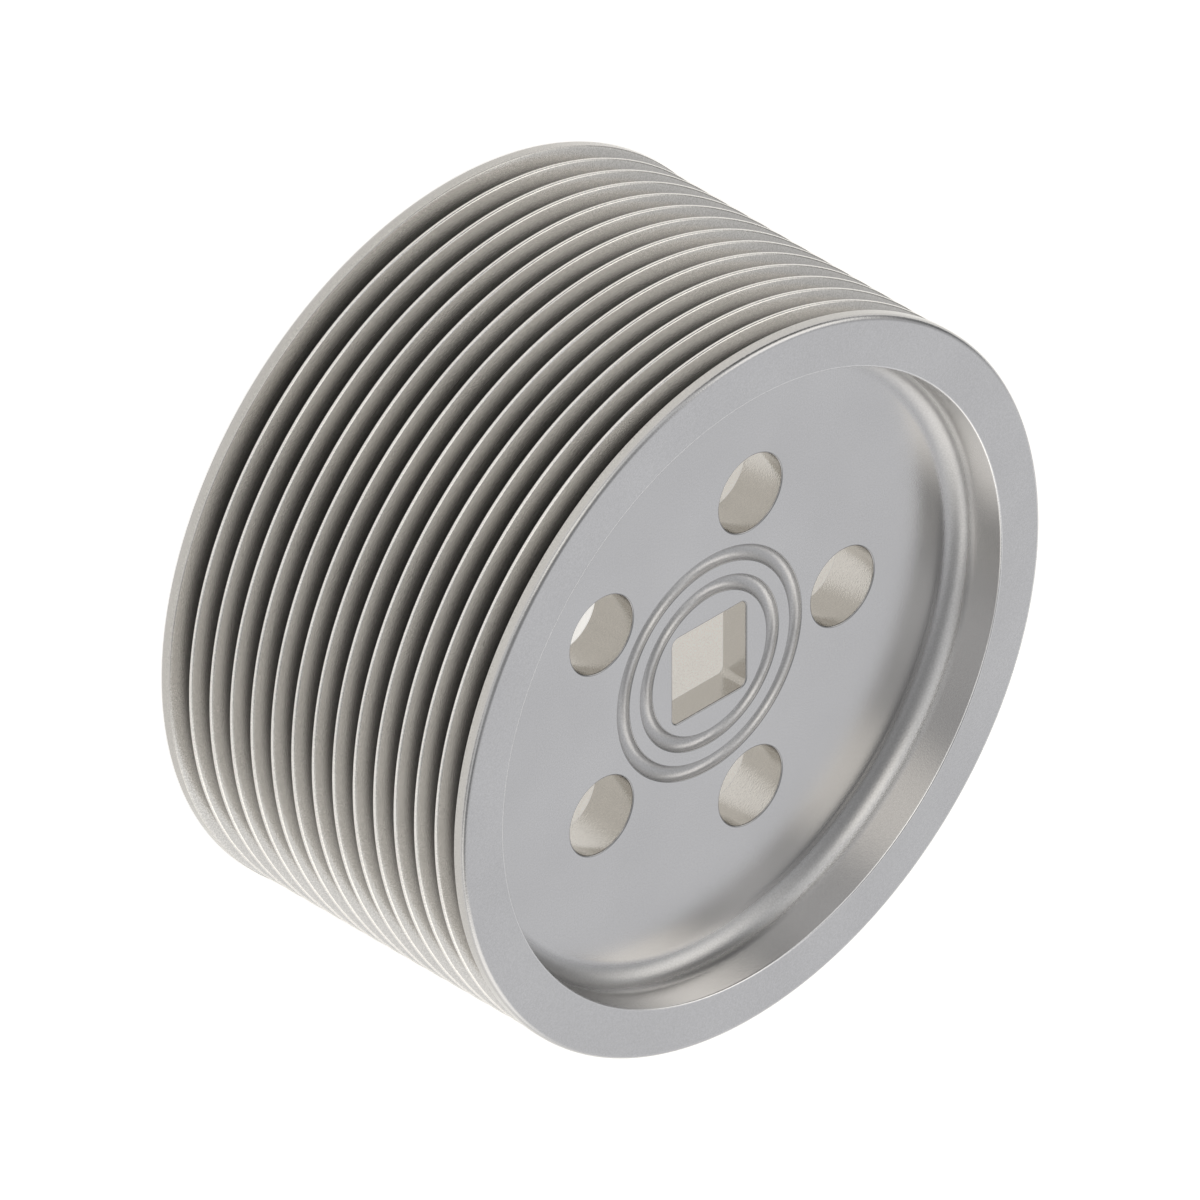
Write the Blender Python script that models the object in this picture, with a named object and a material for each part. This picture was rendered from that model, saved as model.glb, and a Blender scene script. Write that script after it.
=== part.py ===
"""Fan drive pulley: a turned multi-rib belt pulley that stands on its rear rim, front face up.

The origin is the centre of the rear rim, and the pulley's axis is +Z. Lengths are in metres.
"""

import math

import bmesh
import bpy

# Belt track
GROOVE_COUNT = 14
GROOVE_PITCH = 0.00356
GROOVE_ANGLE = math.radians(40)
GROOVE_ROOT_RADIUS = 0.0005
RIB_TIP_WIDTH = 0.00052
END_MARGIN = 0.00341
END_LAND_RADIUS = 0.05025
END_LAND_STEP = 0.00017
END_LAND_ROUND = 0.0008

# Rim and web
RIM_WALL = 0.00357
RECESS_DEPTH = 0.0075
WEB_THICKNESS = 0.0067
WEB_FILLET = 0.0032

# Round grooves on the front of the web
RING_COUNT = 2
RING_FIRST_RADIUS = 0.011
RING_SPACING = 0.004
RING_SECTION_RADIUS = 0.001

# Pilot recess in the rear of the web
PILOT_RADIUS = 0.013
PILOT_DEPTH = 0.0025

# Square hole for a wrench's drive
DRIVE_SIDE = 0.0128
DRIVE_CORNER_RADIUS = 0.001

# Bolt holes
BOLT_COUNT = 5
BOLT_CIRCLE_RADIUS = 0.02317
BOLT_HOLE_RADIUS = 0.00545

# How finely the round forms are divided
TURN_STEPS = 60
HOLE_STEPS = 24
FILLET_STEPS = 3
ROUND_STEPS = 2
RING_STEPS = 4
MERGE_DISTANCE = 1e-6
SHARP_EDGE_ANGLE = math.radians(35)

# Finish
METAL_COLOUR = (0.60, 0.60, 0.61, 1)
METAL_ROUGHNESS = 0.3

# Sizes that follow from those above
overall_width = 2 * END_MARGIN + (GROOVE_COUNT - 1) * GROOVE_PITCH
web_front = overall_width - RECESS_DEPTH
web_rear = web_front - WEB_THICKNESS
half_angle = GROOVE_ANGLE / 2
rib_tip_radius = END_LAND_RADIUS - END_LAND_STEP
groove_half_width = (GROOVE_PITCH - RIB_TIP_WIDTH) / 2
groove_apex_radius = rib_tip_radius - groove_half_width / math.tan(half_angle)
root_centre_radius = groove_apex_radius + GROOVE_ROOT_RADIUS / math.sin(half_angle)
rim_inner_radius = root_centre_radius - GROOVE_ROOT_RADIUS - RIM_WALL


def arc(centre, radius, start, end, steps):
    """Points of an arc in the half section, with its angles in degrees from the outward radius."""
    angles = [math.radians(start + (end - start) * step / steps) for step in range(steps + 1)]
    return [(centre[0] + radius * math.cos(a), centre[1] + radius * math.sin(a)) for a in angles]


def flank_point(radius, height, side):
    """Where a groove's flank meets this radius: side is 1 for the front flank and -1 for the rear one."""
    half_width = groove_half_width + (radius - rib_tip_radius) * math.tan(half_angle)
    return (radius, height + side * half_width)


def groove(index):
    """One belt groove from front to rear: straight flanks and a round root.

    The two outermost flanks run on up to the end lands, which stand a little above the rib tips.
    """
    height = overall_width - END_MARGIN - index * GROOVE_PITCH
    front_radius = END_LAND_RADIUS if index == 0 else rib_tip_radius
    rear_radius = END_LAND_RADIUS if index == GROOVE_COUNT - 1 else rib_tip_radius
    root_start = 90 + math.degrees(half_angle)
    root = arc((root_centre_radius, height), GROOVE_ROOT_RADIUS, root_start, 360 - root_start, ROUND_STEPS)
    return [flank_point(front_radius, height, 1), *root, flank_point(rear_radius, height, -1)]


def ring_groove(index):
    """One half-round groove in the web's front face, from its inner edge to its outer edge."""
    radius = RING_FIRST_RADIUS + index * RING_SPACING
    return arc((radius, web_front), RING_SECTION_RADIUS, 180, 360, RING_STEPS)


def half_section():
    """The whole turned outline as (radius, height) points, from the axis at the front to the axis at the rear."""
    fillet_centre_radius = rim_inner_radius - WEB_FILLET
    round_centre_radius = END_LAND_RADIUS - END_LAND_ROUND
    front_fillet = arc((fillet_centre_radius, web_front + WEB_FILLET), WEB_FILLET, -90, 0, FILLET_STEPS)
    rear_fillet = arc((fillet_centre_radius, web_rear - WEB_FILLET), WEB_FILLET, 0, 90, FILLET_STEPS)
    front_round = (round_centre_radius, overall_width - END_LAND_ROUND)
    rear_round = (round_centre_radius, END_LAND_ROUND)

    outline = [(0, web_front)]
    for index in range(RING_COUNT):
        outline += ring_groove(index)
    outline += front_fillet
    outline += [(rim_inner_radius, overall_width)]
    outline += arc(front_round, END_LAND_ROUND, 90, 0, ROUND_STEPS)
    for index in range(GROOVE_COUNT):
        outline += groove(index)
    outline += arc(rear_round, END_LAND_ROUND, 0, -90, ROUND_STEPS)
    outline += [(rim_inner_radius, 0)]
    outline += rear_fillet
    outline += [(PILOT_RADIUS, web_rear), (PILOT_RADIUS, web_rear + PILOT_DEPTH)]
    outline += [(0, web_rear + PILOT_DEPTH)]
    return outline


def add_object(name, bm):
    mesh = bpy.data.meshes.new(name)
    bm.to_mesh(mesh)
    bm.free()
    thing = bpy.data.objects.new(name, mesh)
    bpy.context.scene.collection.objects.link(thing)
    return thing


def turned_body(name, outline):
    """Turns the half section round the Z axis into one closed body."""
    bm = bmesh.new()
    points = [bm.verts.new((radius, 0, height)) for radius, height in outline]
    edges = [bm.edges.new(pair) for pair in zip(points, points[1:])]
    bmesh.ops.spin(
        bm, geom=points + edges, cent=(0, 0, 0), axis=(0, 0, 1), angle=math.tau, steps=TURN_STEPS
    )
    bmesh.ops.remove_doubles(bm, verts=bm.verts, dist=MERGE_DISTANCE)
    bmesh.ops.recalc_face_normals(bm, faces=bm.faces)
    return add_object(name, bm)


def as_cutter(thing):
    thing.hide_render = True
    thing.display_type = "WIRE"
    thing.location.z = (web_front + web_rear) / 2
    return thing


def bolt_hole_cutter(index):
    """A bar through the web at one place on the bolt circle, which starts at +X."""
    bm = bmesh.new()
    bmesh.ops.create_cone(
        bm,
        cap_ends=True,
        segments=HOLE_STEPS,
        radius1=BOLT_HOLE_RADIUS,
        radius2=BOLT_HOLE_RADIUS,
        depth=2 * WEB_THICKNESS,
    )
    cutter = as_cutter(add_object(f"bolt_hole_cutter_{index}", bm))
    angle = index * math.tau / BOLT_COUNT
    cutter.location.x = BOLT_CIRCLE_RADIUS * math.cos(angle)
    cutter.location.y = BOLT_CIRCLE_RADIUS * math.sin(angle)
    return cutter


def drive_cutter():
    """A square bar along the axis, with its long edges rounded."""
    bm = bmesh.new()
    bmesh.ops.create_cube(bm, size=1)
    bmesh.ops.scale(bm, vec=(DRIVE_SIDE, DRIVE_SIDE, 2 * WEB_THICKNESS), verts=bm.verts)
    long_edges = [e for e in bm.edges if abs(e.verts[0].co.z - e.verts[1].co.z) > WEB_THICKNESS]
    bmesh.ops.bevel(
        bm,
        geom=long_edges,
        offset=DRIVE_CORNER_RADIUS,
        segments=FILLET_STEPS,
        profile=0.5,
        affect="EDGES",
    )
    return as_cutter(add_object("drive_cutter", bm))


def cut(body, cutter):
    modifier = body.modifiers.new(cutter.name, "BOOLEAN")
    modifier.operation = "DIFFERENCE"
    modifier.solver = "EXACT"
    modifier.object = cutter


def machined_metal():
    material = bpy.data.materials.new("machined_aluminium")
    material.use_nodes = True
    shader = material.node_tree.nodes["Principled BSDF"]
    shader.inputs["Base Color"].default_value = METAL_COLOUR
    shader.inputs["Metallic"].default_value = 1
    shader.inputs["Roughness"].default_value = METAL_ROUGHNESS
    return material


def main():
    for thing in list(bpy.data.objects):
        bpy.data.objects.remove(thing)
    pulley = turned_body("pulley", half_section())
    pulley.data.materials.append(machined_metal())
    pulley.data.shade_smooth()
    pulley.data.set_sharp_from_angle(angle=SHARP_EDGE_ANGLE)
    cut(pulley, drive_cutter())
    for index in range(BOLT_COUNT):
        cut(pulley, bolt_hole_cutter(index))


main()
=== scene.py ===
"""Fan drive pulley: the finely turned body in satin aluminium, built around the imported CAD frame.

Lengths are in metres. The pulley stands on its rear rim, with its axis on +Z and its front face up.
"""

import math

import bmesh
import bpy
from mathutils import Matrix, Vector


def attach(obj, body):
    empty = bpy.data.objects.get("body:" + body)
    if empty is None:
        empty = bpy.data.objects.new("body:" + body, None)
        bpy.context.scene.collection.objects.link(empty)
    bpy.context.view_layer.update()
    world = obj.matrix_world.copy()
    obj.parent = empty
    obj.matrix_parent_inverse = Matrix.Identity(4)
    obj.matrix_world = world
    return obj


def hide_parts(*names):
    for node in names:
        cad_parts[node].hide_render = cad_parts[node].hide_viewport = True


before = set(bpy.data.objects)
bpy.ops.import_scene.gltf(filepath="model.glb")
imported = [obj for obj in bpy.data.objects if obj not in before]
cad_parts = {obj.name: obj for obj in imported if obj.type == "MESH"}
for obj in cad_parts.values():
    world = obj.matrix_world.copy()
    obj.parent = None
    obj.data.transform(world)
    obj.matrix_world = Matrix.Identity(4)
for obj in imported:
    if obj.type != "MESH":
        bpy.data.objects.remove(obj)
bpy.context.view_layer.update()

# Belt track
GROOVE_COUNT = 14
GROOVE_PITCH = 0.00356
GROOVE_ANGLE = math.radians(40)
GROOVE_ROOT_RADIUS = 0.0005
RIB_TIP_WIDTH = 0.00045
RIB_TIP_ROUND = 0.0003
FRONT_MARGIN = 0.003375
REAR_MARGIN = 0.003445
END_LAND_RADIUS = 0.05025
END_LAND_STEP = 0.00017
END_LAND_ROUND = 0.0008
END_LAND_INNER_ROUND = 0.00016

# Rim and web
RIM_INNER_RADIUS = 0.0433
RIM_EDGE_ROUND = 0.00025
RECESS_DEPTH = 0.0075
WEB_THICKNESS = 0.0067
WEB_FILLET = 0.0032

# Round grooves on the front of the web
RING_COUNT = 2
RING_FIRST_RADIUS = 0.011
RING_SPACING = 0.004
RING_SECTION_RADIUS = 0.001
RING_LIP_ROUND = 0.00015

# Pilot recess in the rear of the web
PILOT_RADIUS = 0.013
PILOT_DEPTH = 0.0025
PILOT_ROUND = 0.0003

# Holes through the web
DRIVE_SIDE = 0.0128
DRIVE_CORNER_RADIUS = 0.001
BOLT_COUNT = 5
BOLT_CIRCLE_RADIUS = 0.02317
BOLT_HOLE_RADIUS = 0.00545
HOLE_EDGE_ROUND = 0.0002
CUTTER_OVERRUN = 0.002

# How finely the round forms are divided
TURN_STEPS = 256
HOLE_STEPS = 96
CORNER_STEPS = 8
MOUTH_STEPS = 4
TIP_STEPS = 5
ROOT_STEPS = 6
FILLET_STEPS = 10
RING_STEPS = 12
EDGE_STEPS = 3
SHARP_EDGE_ANGLE = math.radians(40)
FLAT_FACE_WEIGHT = 100

# Sizes that follow from those above
overall_width = FRONT_MARGIN + (GROOVE_COUNT - 1) * GROOVE_PITCH + REAR_MARGIN
web_front = overall_width - RECESS_DEPTH
web_rear = web_front - WEB_THICKNESS
pilot_floor = web_rear + PILOT_DEPTH
half_angle = GROOVE_ANGLE / 2
rib_tip_radius = END_LAND_RADIUS - END_LAND_STEP
groove_half_width = (GROOVE_PITCH - RIB_TIP_WIDTH) / 2
groove_apex_radius = rib_tip_radius - groove_half_width / math.tan(half_angle)

# Metal colour: level faces a cool grey; walls, holes and the belt track warmer, a painted warm reflection
UP = (0, 0, 1)
FACE_COLOUR = Vector((0.45, 0.45, 0.46))
SIDE_COLOUR = Vector((0.462, 0.452, 0.436))

# Metals in the order of the pulley's material slots, each with its shade. The upper part of the edges
# in the web is darker, a painted dark outline, and the edge round the recess's mouth a painted highlight.
METALS = (("satin_aluminium", 1), ("web_edge", 0.6), ("recess_mouth", 1.25))
WEB_EDGE_METAL = 1
RECESS_MOUTH_METAL = 2
WEB_EDGE_DEPTH = 0.00011
WEB_EDGE_REACH = 0.0295
WEB_EDGE_LEVEL = 0.99

# Clouds and grain. A noise is usually between the levels of USUAL_NOISE, and each contrast is the part
# by which it then makes the colour lighter or darker.
USUAL_NOISE = (0.3, 0.7)
CLOUD_SIZE = 0.014
CLOUD_DETAIL = 3
CLOUD_CONTRAST = 0.03
GRAIN_SIZE = 0.0002
GRAIN_DETAIL = 1
GRAIN_CONTRAST = 0.05
GRAIN_HEIGHT = 0.000015

# Roughness, which the clouds vary. Metal darkened by painted shade is rougher, and frosted metal rougher
# still, with a grain that shows FROSTED_GRAIN times as much.
METAL_ROUGHNESS = (0.16, 0.21)
SHADED_ROUGHNESS = 0.5
FROSTED_ROUGHNESS = 0.25
FROSTED_GRAIN = 2.4

# Painted light and shade by place. The belt track has painted highlights on its rib tips and painted
# shade darkening down its grooves, at shares of its depth. Holes and the recess wall are painted
# brighter, while the ring grooves and the web's corners get painted shade.
TRACK_MARGIN = 0.0013
TRACK_INNER_RADIUS = 0.045
TRACK_DEPTH = 0.0035
TRACK_SHADES = ((0, 1), (0.05, 1.45), (0.1, 1.3), (0.34, 1.2), (0.53, 0.9), (0.73, 0.53), (1, 0.14))
BORE_SHADE = 1.55
RING_PAINTED_SHADE = 0.09
RING_MARGIN = 0.0001
CORNER_PAINTED_SHADE = 0.34

# Floor: its glow shows white, a little warm, to the camera and in reflections. It lies just below the
# pulley's foot, so that no face of the pulley is in its plane.
FLOOR_REACH = 3.0
FLOOR_GAP = 0.00002
FLOOR_COLOUR = (0.9, 0.9, 0.9, 1)
FLOOR_GLOW = 0.7
FLOOR_TINT = (1.04, 1.015, 0.97, 1)

# Studio: the strength of the white that lights matt surfaces, and for each soft light or dark flag its
# azimuth, elevation and spread in degrees, its strength and its tint
DIFFUSE_LEVEL = 0.5
PLAIN = (1, 1, 1)
WARM = (1.05, 1, 0.9)
STUDIO_LIGHTS = (
    (125, 36, 24, 0.8, WARM),
    (258, 22, 30, 0.8, WARM),
    (25, 40, 26, 0.9, WARM),
    (315, 8, 15, 0.6, WARM),
    (218, 22, 16, 0.5, WARM),
    (50, 5, 38, -0.8, PLAIN),
    (350, 32, 24, -0.35, PLAIN),
    (357, 5, 26, -0.7, PLAIN),
    (137, 72, 50, -0.6, PLAIN),
    (224, 44, 24, -0.55, PLAIN),
    (195, 10, 22, -0.4, PLAIN),
)

# Camera, as wide as the 1200 pixel photograph at its scale
VIEW_RIGHT = Vector((1, 0, 1))
VIEW_BACK = Vector((-1, 1, 1))
VIEW_WIDTH = 0.1477
VIEW_DISTANCE = 1.0


def rounded_corner(before, corner, after, radius, steps):
    """Points of the arc that rounds a corner between its two neighbours."""
    to_before = (before - corner).normalized()
    to_after = (after - corner).normalized()
    half = to_before.angle(to_after) / 2
    centre = corner + (to_before + to_after).normalized() * radius / math.sin(half)
    start = corner + to_before * radius / math.tan(half) - centre
    sweep = start.angle_signed(corner + to_after * radius / math.tan(half) - centre)
    return [centre + Matrix.Rotation(-sweep * step / steps, 2) @ start for step in range(steps + 1)]


def rounded_outline(corners):
    """The outline through (radius, height, round, steps) corners, each rounded by its own radius."""
    places = [Vector(corner[:2]) for corner in corners]
    outline = [places[0]]
    for index in range(1, len(corners) - 1):
        round_radius, steps = corners[index][2:]
        if round_radius:
            outline += rounded_corner(*places[index - 1:index + 2], round_radius, steps)
        else:
            outline.append(places[index])
    return outline + [places[-1]]


def groove(index):
    """Corners of one belt groove from front to rear.

    The two outermost flanks run on up to the end lands, which stand a little above the rib tips.
    """
    height = overall_width - FRONT_MARGIN - index * GROOVE_PITCH
    corners = []
    for side, at_end in ((1, index == 0), (-1, index == GROOVE_COUNT - 1)):
        radius = END_LAND_RADIUS if at_end else rib_tip_radius
        round_radius = END_LAND_INNER_ROUND if at_end else RIB_TIP_ROUND
        half_width = (radius - groove_apex_radius) * math.tan(half_angle)
        corners.append((radius, height + side * half_width, round_radius, TIP_STEPS))
    root = (groove_apex_radius, height, GROOVE_ROOT_RADIUS, ROOT_STEPS)
    return [corners[0], root, corners[1]]


def ring_groove(index):
    """Corners of one round groove in the web's front face, from its inner lip to its outer lip."""
    centre = RING_FIRST_RADIUS + index * RING_SPACING
    corners = []
    for step in range(RING_STEPS + 1):
        angle = math.pi + math.pi * step / RING_STEPS
        lip = RING_LIP_ROUND if step in (0, RING_STEPS) else 0
        radius = centre + RING_SECTION_RADIUS * math.cos(angle)
        corners.append((radius, web_front + RING_SECTION_RADIUS * math.sin(angle), lip, EDGE_STEPS))
    return corners


def half_section():
    """The whole turned outline as rounded corners, from the axis at the front to the axis at the rear."""
    corners = [(0, web_front, 0, 0)]
    for index in range(RING_COUNT):
        corners += ring_groove(index)
    corners += [
        (RIM_INNER_RADIUS, web_front, WEB_FILLET, FILLET_STEPS),
        (RIM_INNER_RADIUS, overall_width, RIM_EDGE_ROUND, EDGE_STEPS),
        (END_LAND_RADIUS, overall_width, END_LAND_ROUND, ROOT_STEPS),
    ]
    for index in range(GROOVE_COUNT):
        corners += groove(index)
    corners += [
        (END_LAND_RADIUS, 0, END_LAND_ROUND, ROOT_STEPS),
        (RIM_INNER_RADIUS, 0, RIM_EDGE_ROUND, EDGE_STEPS),
        (RIM_INNER_RADIUS, web_rear, WEB_FILLET, FILLET_STEPS),
        (PILOT_RADIUS, web_rear, PILOT_ROUND, EDGE_STEPS),
        (PILOT_RADIUS, pilot_floor, PILOT_ROUND, EDGE_STEPS),
        (0, pilot_floor, 0, 0),
    ]
    return rounded_outline(corners)


def add_mesh(name, vertices, faces):
    mesh = bpy.data.meshes.new(name)
    mesh.from_pydata(vertices, [], faces)
    thing = bpy.data.objects.new(name, mesh)
    bpy.context.scene.collection.objects.link(thing)
    return thing


def loft(rings):
    """Vertices and faces of one closed solid through rings of equal length, with its two ends capped."""
    count = len(rings[0])
    vertices = [point for ring in rings for point in ring]
    faces = [list(range(count)), list(range(len(vertices) - 1, len(vertices) - count - 1, -1))]
    for low in range(0, len(vertices) - count, count):
        for step in range(count):
            beside = (step + 1) % count
            faces.append((low + beside, low + step, low + count + step, low + count + beside))
    return vertices, faces


def turned_body(name, outline):
    """Turns the outline round the Z axis into one closed body."""
    turns = [math.tau * step / TURN_STEPS for step in range(TURN_STEPS)]
    rings = [
        [(point.x * math.cos(turn), point.x * math.sin(turn), point.y) for turn in turns]
        for point in outline[1:-1]
    ]
    return add_mesh(name, *loft(rings))


def mouth_profile(top, bottom):
    """(height, widening) pairs down a hole whose edges are rounded where it meets the top and the bottom."""
    edge = HOLE_EDGE_ROUND
    arc = []
    for step in range(1, MOUTH_STEPS + 1):
        angle = math.radians(90) * (1 + step / MOUTH_STEPS)
        arc.append((edge * (1 - math.sin(angle)), edge * (1 + math.cos(angle))))
    # The cutter leaves the face in line with the arc's first step, and then runs straight on
    depth, widening = arc[0]
    arc.insert(0, (-depth / 2, edge + (edge - widening) / 2))
    arc.insert(0, (-CUTTER_OVERRUN, arc[0][1]))
    upper = [(top - depth, widening) for depth, widening in arc]
    lower = [(bottom + depth, widening) for depth, widening in reversed(arc)]
    return upper + lower


def circle(centre, radius, height):
    turns = [math.tau * step / HOLE_STEPS for step in range(HOLE_STEPS)]
    return [(centre.x + radius * math.cos(t), centre.y + radius * math.sin(t), height) for t in turns]


def rounded_square(side, corner_radius, height):
    points = []
    for corner in range(4):
        middle = math.tau * (corner + 0.5) / 4
        reach = (side / 2 - corner_radius) * math.sqrt(2)
        for step in range(CORNER_STEPS + 1):
            turn = middle + math.radians(90) * (step / CORNER_STEPS - 0.5)
            x = reach * math.cos(middle) + corner_radius * math.cos(turn)
            y = reach * math.sin(middle) + corner_radius * math.sin(turn)
            points.append((x, y, height))
    return points


def hole_cutters():
    """One object with the five bolt holes and the drive hole, each with rounded mouths."""
    solids = []
    for index in range(BOLT_COUNT):
        turn = math.tau * index / BOLT_COUNT
        centre = BOLT_CIRCLE_RADIUS * Vector((math.cos(turn), math.sin(turn)))
        levels = mouth_profile(web_front, web_rear)
        solids.append([circle(centre, BOLT_HOLE_RADIUS + wider, height) for height, wider in levels])
    levels = mouth_profile(web_front, pilot_floor)
    solids.append([
        rounded_square(DRIVE_SIDE + 2 * wider, DRIVE_CORNER_RADIUS + wider, height)
        for height, wider in levels
    ])
    vertices, faces = [], []
    for rings in solids:
        more_vertices, more_faces = loft(rings)
        faces += [[len(vertices) + corner for corner in face] for face in more_faces]
        vertices += more_vertices
    return add_mesh("hole_cutters", vertices, faces)


def outward(thing):
    """Turns every face of a closed mesh outward."""
    bm = bmesh.new()
    bm.from_mesh(thing.data)
    bmesh.ops.recalc_face_normals(bm, faces=bm.faces)
    bm.to_mesh(thing.data)
    bm.free()
    return thing


def cut(body, cutters):
    """Cuts the holes and smooths the result, with its flat faces kept flat."""
    holes = body.modifiers.new("holes", "BOOLEAN")
    holes.operation = "DIFFERENCE"
    holes.solver = "EXACT"
    holes.object = cutters
    evaluated = body.evaluated_get(bpy.context.evaluated_depsgraph_get())
    mesh = bpy.data.meshes.new_from_object(evaluated)
    body.modifiers.clear()
    body.data = mesh
    bpy.data.objects.remove(cutters)
    mesh.shade_smooth()
    mesh.set_sharp_from_angle(angle=SHARP_EDGE_ANGLE)
    flat = body.modifiers.new("flat faces stay flat", "WEIGHTED_NORMAL")
    flat.keep_sharp = True
    flat.weight = FLAT_FACE_WEIGHT


def shade_edges(mesh):
    """Gives the rounded edges in the web, and the one round the recess's mouth, their own metals."""
    for face in mesh.polygons:
        across = face.center.xy.length
        web_drop = web_front - face.center.z
        rim_drop = overall_width - face.center.z
        # Painted shade: the web's edge rounds take the darker metal, a dark outline
        if 0 < web_drop < WEB_EDGE_DEPTH and across < WEB_EDGE_REACH and face.normal.z < WEB_EDGE_LEVEL:
            face.material_index = WEB_EDGE_METAL
        # Painted highlight: the round at the recess's mouth takes the lighter metal
        elif 0 < rim_drop < RIM_EDGE_ROUND and across < RIM_INNER_RADIUS + RIM_EDGE_ROUND:
            face.material_index = RECESS_MOUTH_METAL


def math_node(tree, operation, *values):
    """A Math node whose inputs are numbers or other nodes' outputs; returns its output."""
    node = tree.nodes.new("ShaderNodeMath")
    node.operation = operation
    for socket, value in zip(node.inputs, values):
        if isinstance(value, bpy.types.NodeSocket):
            tree.links.new(value, socket)
        else:
            socket.default_value = value
    return node.outputs[0]


def vector_node(tree, operation, *values):
    """A Vector Math node whose inputs are vectors or other nodes' outputs."""
    node = tree.nodes.new("ShaderNodeVectorMath")
    node.operation = operation
    for socket, value in zip(node.inputs, values):
        if isinstance(value, bpy.types.NodeSocket):
            tree.links.new(value, socket)
        else:
            socket.default_value = value
    return node


def range_node(tree, value, start, end, low=0, high=1):
    """Spreads a value from start to end over low to high, and holds it there outside."""
    node = tree.nodes.new("ShaderNodeMapRange")
    for name, setting in zip(("From Min", "From Max", "To Min", "To Max"), (start, end, low, high)):
        node.inputs[name].default_value = setting
    tree.links.new(value, node.inputs["Value"])
    return node.outputs["Result"]


def belt_track(tree, across, height):
    """1 in the belt track, between its end lands, and 0 elsewhere."""
    middle = overall_width / 2
    between_lands = math_node(tree, "COMPARE", height, middle, middle - TRACK_MARGIN)
    outside = math_node(tree, "GREATER_THAN", across, TRACK_INNER_RADIUS)
    return math_node(tree, "MULTIPLY", between_lands, outside)


def track_shade(tree, across, in_track):
    """Painted highlight on rib tips, painted shade darkening to groove roots; 1 outside the belt track."""
    share = range_node(tree, across, END_LAND_RADIUS, END_LAND_RADIUS - TRACK_DEPTH)
    share = math_node(tree, "MULTIPLY", share, in_track)
    ramp = tree.nodes.new("ShaderNodeValToRGB")
    stops = ramp.color_ramp.elements
    for position, shade in TRACK_SHADES[1:-1]:
        stops.new(position)
    for stop, (position, shade) in zip(stops, TRACK_SHADES):
        stop.position = position
        stop.color = (shade, shade, shade, 1)
    tree.links.new(share, ramp.inputs[0])
    return ramp.outputs[0]


def web_shade(tree, across, height, upright):
    """Painted light in holes and up walls, painted shade in the web's ring grooves and rim corners.

    Also returns how frosted the metal is, which is 1 deep in those grooves and corners.
    """
    ring_middle = RING_FIRST_RADIUS + (RING_COUNT - 1) * RING_SPACING / 2
    ring_reach = (RING_COUNT - 1) * RING_SPACING / 2 + RING_SECTION_RADIUS
    among_rings = math_node(tree, "COMPARE", across, ring_middle, ring_reach)
    ring_floor = web_front - RING_SECTION_RADIUS
    in_front = math_node(tree, "GREATER_THAN", height, ring_floor - RING_MARGIN)
    depth = range_node(tree, height, web_front, ring_floor)
    ring = math_node(tree, "MULTIPLY", depth, math_node(tree, "MULTIPLY", among_rings, in_front))

    above_middle = math_node(tree, "SUBTRACT", height, (web_front + web_rear) / 2)
    from_middle = math_node(tree, "ABSOLUTE", above_middle)
    web_face = WEB_THICKNESS / 2
    near_web = range_node(tree, from_middle, web_face + WEB_FILLET, web_face)
    near_rim = range_node(tree, across, RIM_INNER_RADIUS - WEB_FILLET, RIM_INNER_RADIUS)
    inside = math_node(tree, "LESS_THAN", across, TRACK_INNER_RADIUS)
    corner = math_node(tree, "MULTIPLY", near_web, math_node(tree, "MULTIPLY", near_rim, inside))

    # Painted shade in the ring grooves and in the web's corners with the rim
    ring_shade = math_node(tree, "MULTIPLY_ADD", ring, -RING_PAINTED_SHADE, 1)
    cut_shade = math_node(tree, "MULTIPLY_ADD", corner, -CORNER_PAINTED_SHADE, ring_shade)
    # Painted light: holes and walls inside the rim are made up to BORE_SHADE times brighter
    gain = math_node(tree, "MULTIPLY", inside, math_node(tree, "MULTIPLY", upright, BORE_SHADE - 1))
    shade = math_node(tree, "MULTIPLY_ADD", gain, cut_shade, cut_shade)
    return shade, math_node(tree, "MAXIMUM", ring, corner)


def noise_node(tree, place, size, detail):
    """A noise whose features are about this size; returns its level, which is about 0.5 on average."""
    noise = tree.nodes.new("ShaderNodeTexNoise")
    noise.inputs["Scale"].default_value = 1 / size
    noise.inputs["Detail"].default_value = detail
    tree.links.new(place, noise.inputs["Vector"])
    return noise.outputs["Fac"]


def surface_detail(tree, clouds, grain, coarse):
    """Shade of the faint clouds and the fine grain, which shows more where coarse is 1."""
    speckle = range_node(tree, grain, *USUAL_NOISE, -GRAIN_CONTRAST, GRAIN_CONTRAST)
    boost = math_node(tree, "MULTIPLY_ADD", coarse, FROSTED_GRAIN - 1, 1)
    speckle = math_node(tree, "MULTIPLY_ADD", speckle, boost, 1)
    cloudy = range_node(tree, clouds, *USUAL_NOISE, 1 - CLOUD_CONTRAST, 1 + CLOUD_CONTRAST)
    return math_node(tree, "MULTIPLY", speckle, cloudy)


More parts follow.
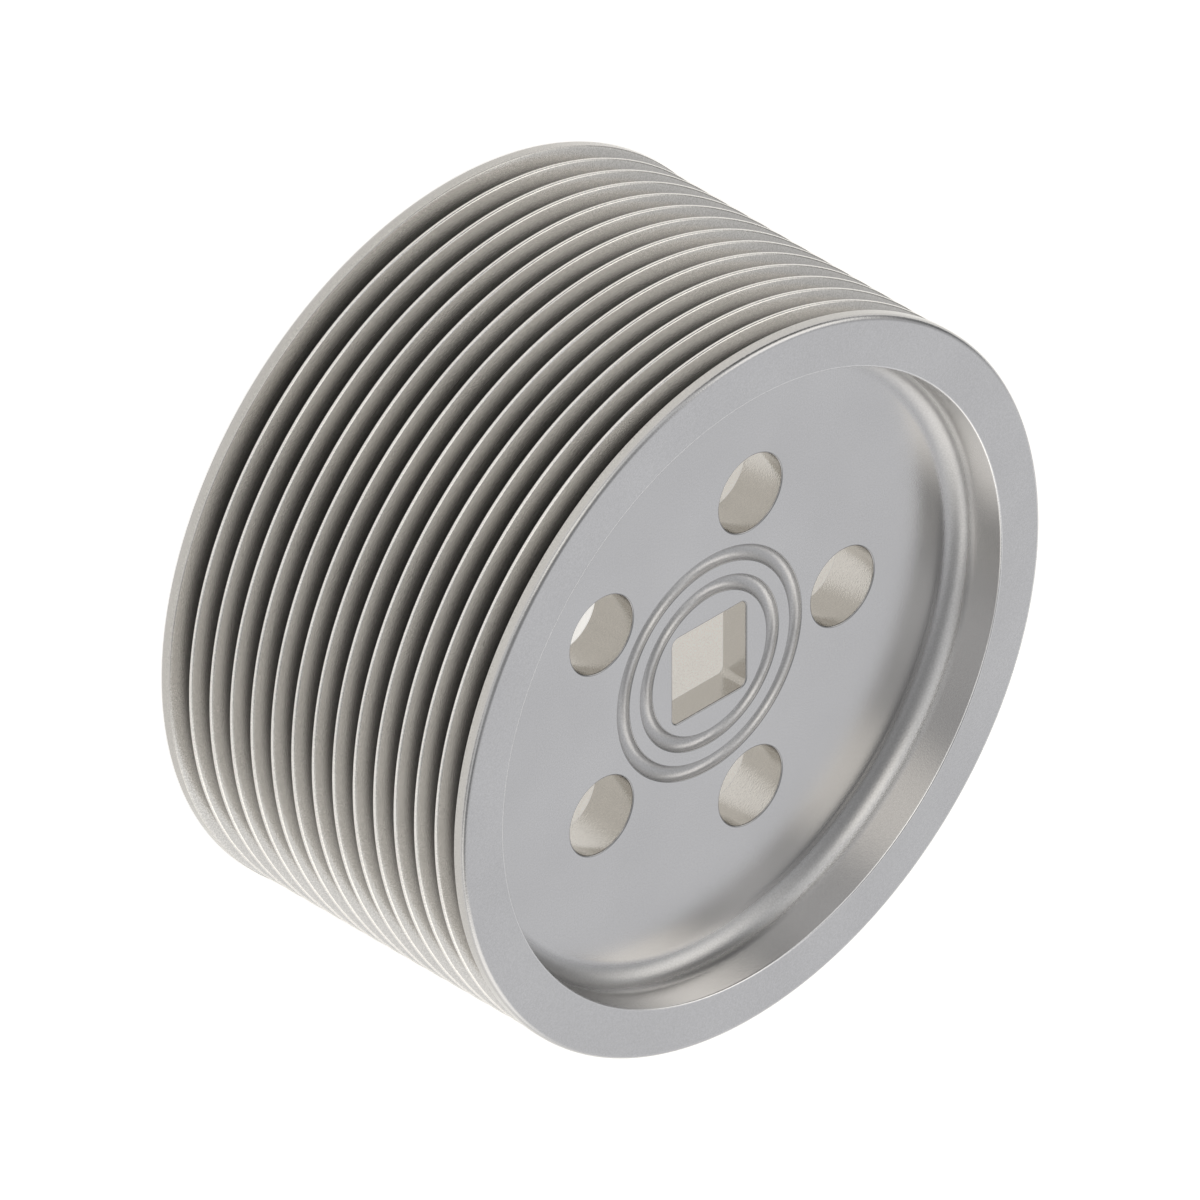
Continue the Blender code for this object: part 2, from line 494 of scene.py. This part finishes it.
def satin_aluminium(name, metal_shade):
    """Satin aluminium with faint clouds in its colour and gloss, and a fine grain in its colour and bump.

    Its colour is the metal's own shade, times the painted light and shade by place on the pulley.
    """
    material = bpy.data.materials.new(name)
    material.use_nodes = True
    tree = material.node_tree
    shader = tree.nodes["Principled BSDF"]
    shader.inputs["Metallic"].default_value = 1
    coordinates = tree.nodes.new("ShaderNodeTexCoord").outputs
    place = coordinates["Object"]
    clouds = noise_node(tree, place, CLOUD_SIZE, CLOUD_DETAIL)
    grain = noise_node(tree, place, GRAIN_SIZE, GRAIN_DETAIL)

    plan = vector_node(tree, "MULTIPLY", place, (1, 1, 0)).outputs["Vector"]
    across = vector_node(tree, "LENGTH", plan).outputs["Value"]
    height = vector_node(tree, "DOT_PRODUCT", place, UP).outputs["Value"]
    level = vector_node(tree, "DOT_PRODUCT", coordinates["Normal"], UP).outputs["Value"]
    upright = math_node(tree, "SUBTRACT", 1, math_node(tree, "ABSOLUTE", level))
    in_track = belt_track(tree, across, height)
    on_web, frosted = web_shade(tree, across, height, upright)
    place_shade = math_node(tree, "MULTIPLY", track_shade(tree, across, in_track), on_web)

    coarse = math_node(tree, "MAXIMUM", in_track, frosted)
    detail = surface_detail(tree, clouds, grain, coarse)
    shade = math_node(tree, "MULTIPLY", math_node(tree, "MULTIPLY", place_shade, detail), metal_shade)
    # Upright faces and the whole belt track take the warmer side colour: a painted warm reflection
    side = math_node(tree, "MAXIMUM", upright, in_track)
    metal = vector_node(tree, "MULTIPLY_ADD", side, SIDE_COLOUR - FACE_COLOUR, FACE_COLOUR)
    colour = vector_node(tree, "SCALE", metal.outputs["Vector"])
    tree.links.new(shade, colour.inputs["Scale"])
    tree.links.new(colour.outputs["Vector"], shader.inputs["Base Color"])

    gloss = range_node(tree, clouds, *USUAL_NOISE, *METAL_ROUGHNESS)
    # How much the painted shade darkens the metal, which also makes it rougher
    darkening = math_node(tree, "MAXIMUM", math_node(tree, "SUBTRACT", 1, place_shade), 0)
    rough = math_node(tree, "MULTIPLY_ADD", darkening, SHADED_ROUGHNESS, gloss)
    rough = math_node(tree, "MULTIPLY_ADD", frosted, FROSTED_ROUGHNESS, rough)
    tree.links.new(rough, shader.inputs["Roughness"])

    bump = tree.nodes.new("ShaderNodeBump")
    bump.inputs["Distance"].default_value = GRAIN_HEIGHT
    tree.links.new(grain, bump.inputs["Height"])
    tree.links.new(bump.outputs["Normal"], shader.inputs["Normal"])
    return material


def add_camera():
    data = bpy.data.cameras.new("camera")
    data.type = "ORTHO"
    data.ortho_scale = VIEW_WIDTH
    camera = bpy.data.objects.new("camera", data)
    right, back = VIEW_RIGHT.normalized(), VIEW_BACK.normalized()
    turn = Matrix((right, back.cross(right), back)).transposed()
    centre = Vector((0, 0, overall_width / 2))
    camera.matrix_world = Matrix.Translation(centre + back * VIEW_DISTANCE) @ turn.to_4x4()
    bpy.context.scene.collection.objects.link(camera)
    bpy.context.scene.camera = camera


def background_ray(tree):
    """1 for the rays that show the white background: the camera's, and those that metal or glass sends on."""
    path = tree.nodes.new("ShaderNodeLightPath").outputs
    either = math_node(tree, "MAXIMUM", path["Is Camera Ray"], path["Is Glossy Ray"])
    return math_node(tree, "MAXIMUM", either, path["Is Transmission Ray"])


def add_floor():
    """A white floor with a light of its own, which leaves only the pulley's shadow on it darker."""
    sides = ((-1, -1), (1, -1), (1, 1), (-1, 1))
    corners = [(x * FLOOR_REACH, y * FLOOR_REACH, -FLOOR_GAP) for x, y in sides]
    floor = add_mesh("floor", corners, [(0, 1, 2, 3)])
    material = bpy.data.materials.new("floor")
    material.use_nodes = True
    tree = material.node_tree
    shader = tree.nodes["Principled BSDF"]
    shader.inputs["Base Color"].default_value = FLOOR_COLOUR
    shader.inputs["Roughness"].default_value = 1
    shader.inputs["Emission Color"].default_value = FLOOR_TINT
    glow = math_node(tree, "MULTIPLY", background_ray(tree), FLOOR_GLOW)
    tree.links.new(glow, shader.inputs["Emission Strength"])
    floor.data.materials.append(material)


def toward(azimuth, elevation):
    """The unit vector in this direction, in degrees from +X and above the floor."""
    turn, rise = math.radians(azimuth), math.radians(elevation)
    return Vector((math.cos(rise) * math.cos(turn), math.cos(rise) * math.sin(turn), math.sin(rise)))


def soft_light(tree, direction, light, so_far):
    """Adds one round soft light to the studio's light so far."""
    azimuth, elevation, spread, strength, tint = light
    facing = vector_node(tree, "DOT_PRODUCT", direction, toward(azimuth, elevation)).outputs["Value"]
    fall = tree.nodes.new("ShaderNodeMapRange")
    fall.interpolation_type = "SMOOTHSTEP"
    fall.inputs["From Min"].default_value = math.cos(math.radians(spread))
    tree.links.new(facing, fall.inputs["Value"])
    colour = [strength * channel for channel in tint]
    return vector_node(tree, "MULTIPLY_ADD", fall.outputs["Result"], colour, so_far).outputs["Vector"]


def add_studio():
    """White all round for the camera, metal and glass, with lights and flags that only metal sees."""
    world = bpy.data.worlds.new("studio")
    bpy.context.scene.world = world
    world.use_nodes = True
    tree = world.node_tree
    direction = tree.nodes.new("ShaderNodeTexCoord").outputs["Generated"]
    light = (0, 0, 0)
    for soft in STUDIO_LIGHTS:
        light = soft_light(tree, direction, soft, light)
    in_metal = tree.nodes.new("ShaderNodeLightPath").outputs["Is Glossy Ray"]
    seen = vector_node(tree, "MULTIPLY_ADD", light, in_metal, PLAIN).outputs["Vector"]
    background = tree.nodes["Background"]
    tree.links.new(seen, background.inputs["Color"])
    level = range_node(tree, background_ray(tree), 0, 1, DIFFUSE_LEVEL, 1)
    tree.links.new(level, background.inputs["Strength"])


pulley = outward(turned_body("pulley_body", half_section()))
for metal_name, shade in METALS:
    pulley.data.materials.append(satin_aluminium(metal_name, shade))
cut(pulley, outward(hole_cutters()))
shade_edges(pulley.data)
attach(pulley, "root")
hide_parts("pulley")

add_camera()
add_floor()
add_studio()
bpy.context.scene.view_settings.view_transform = "Standard"
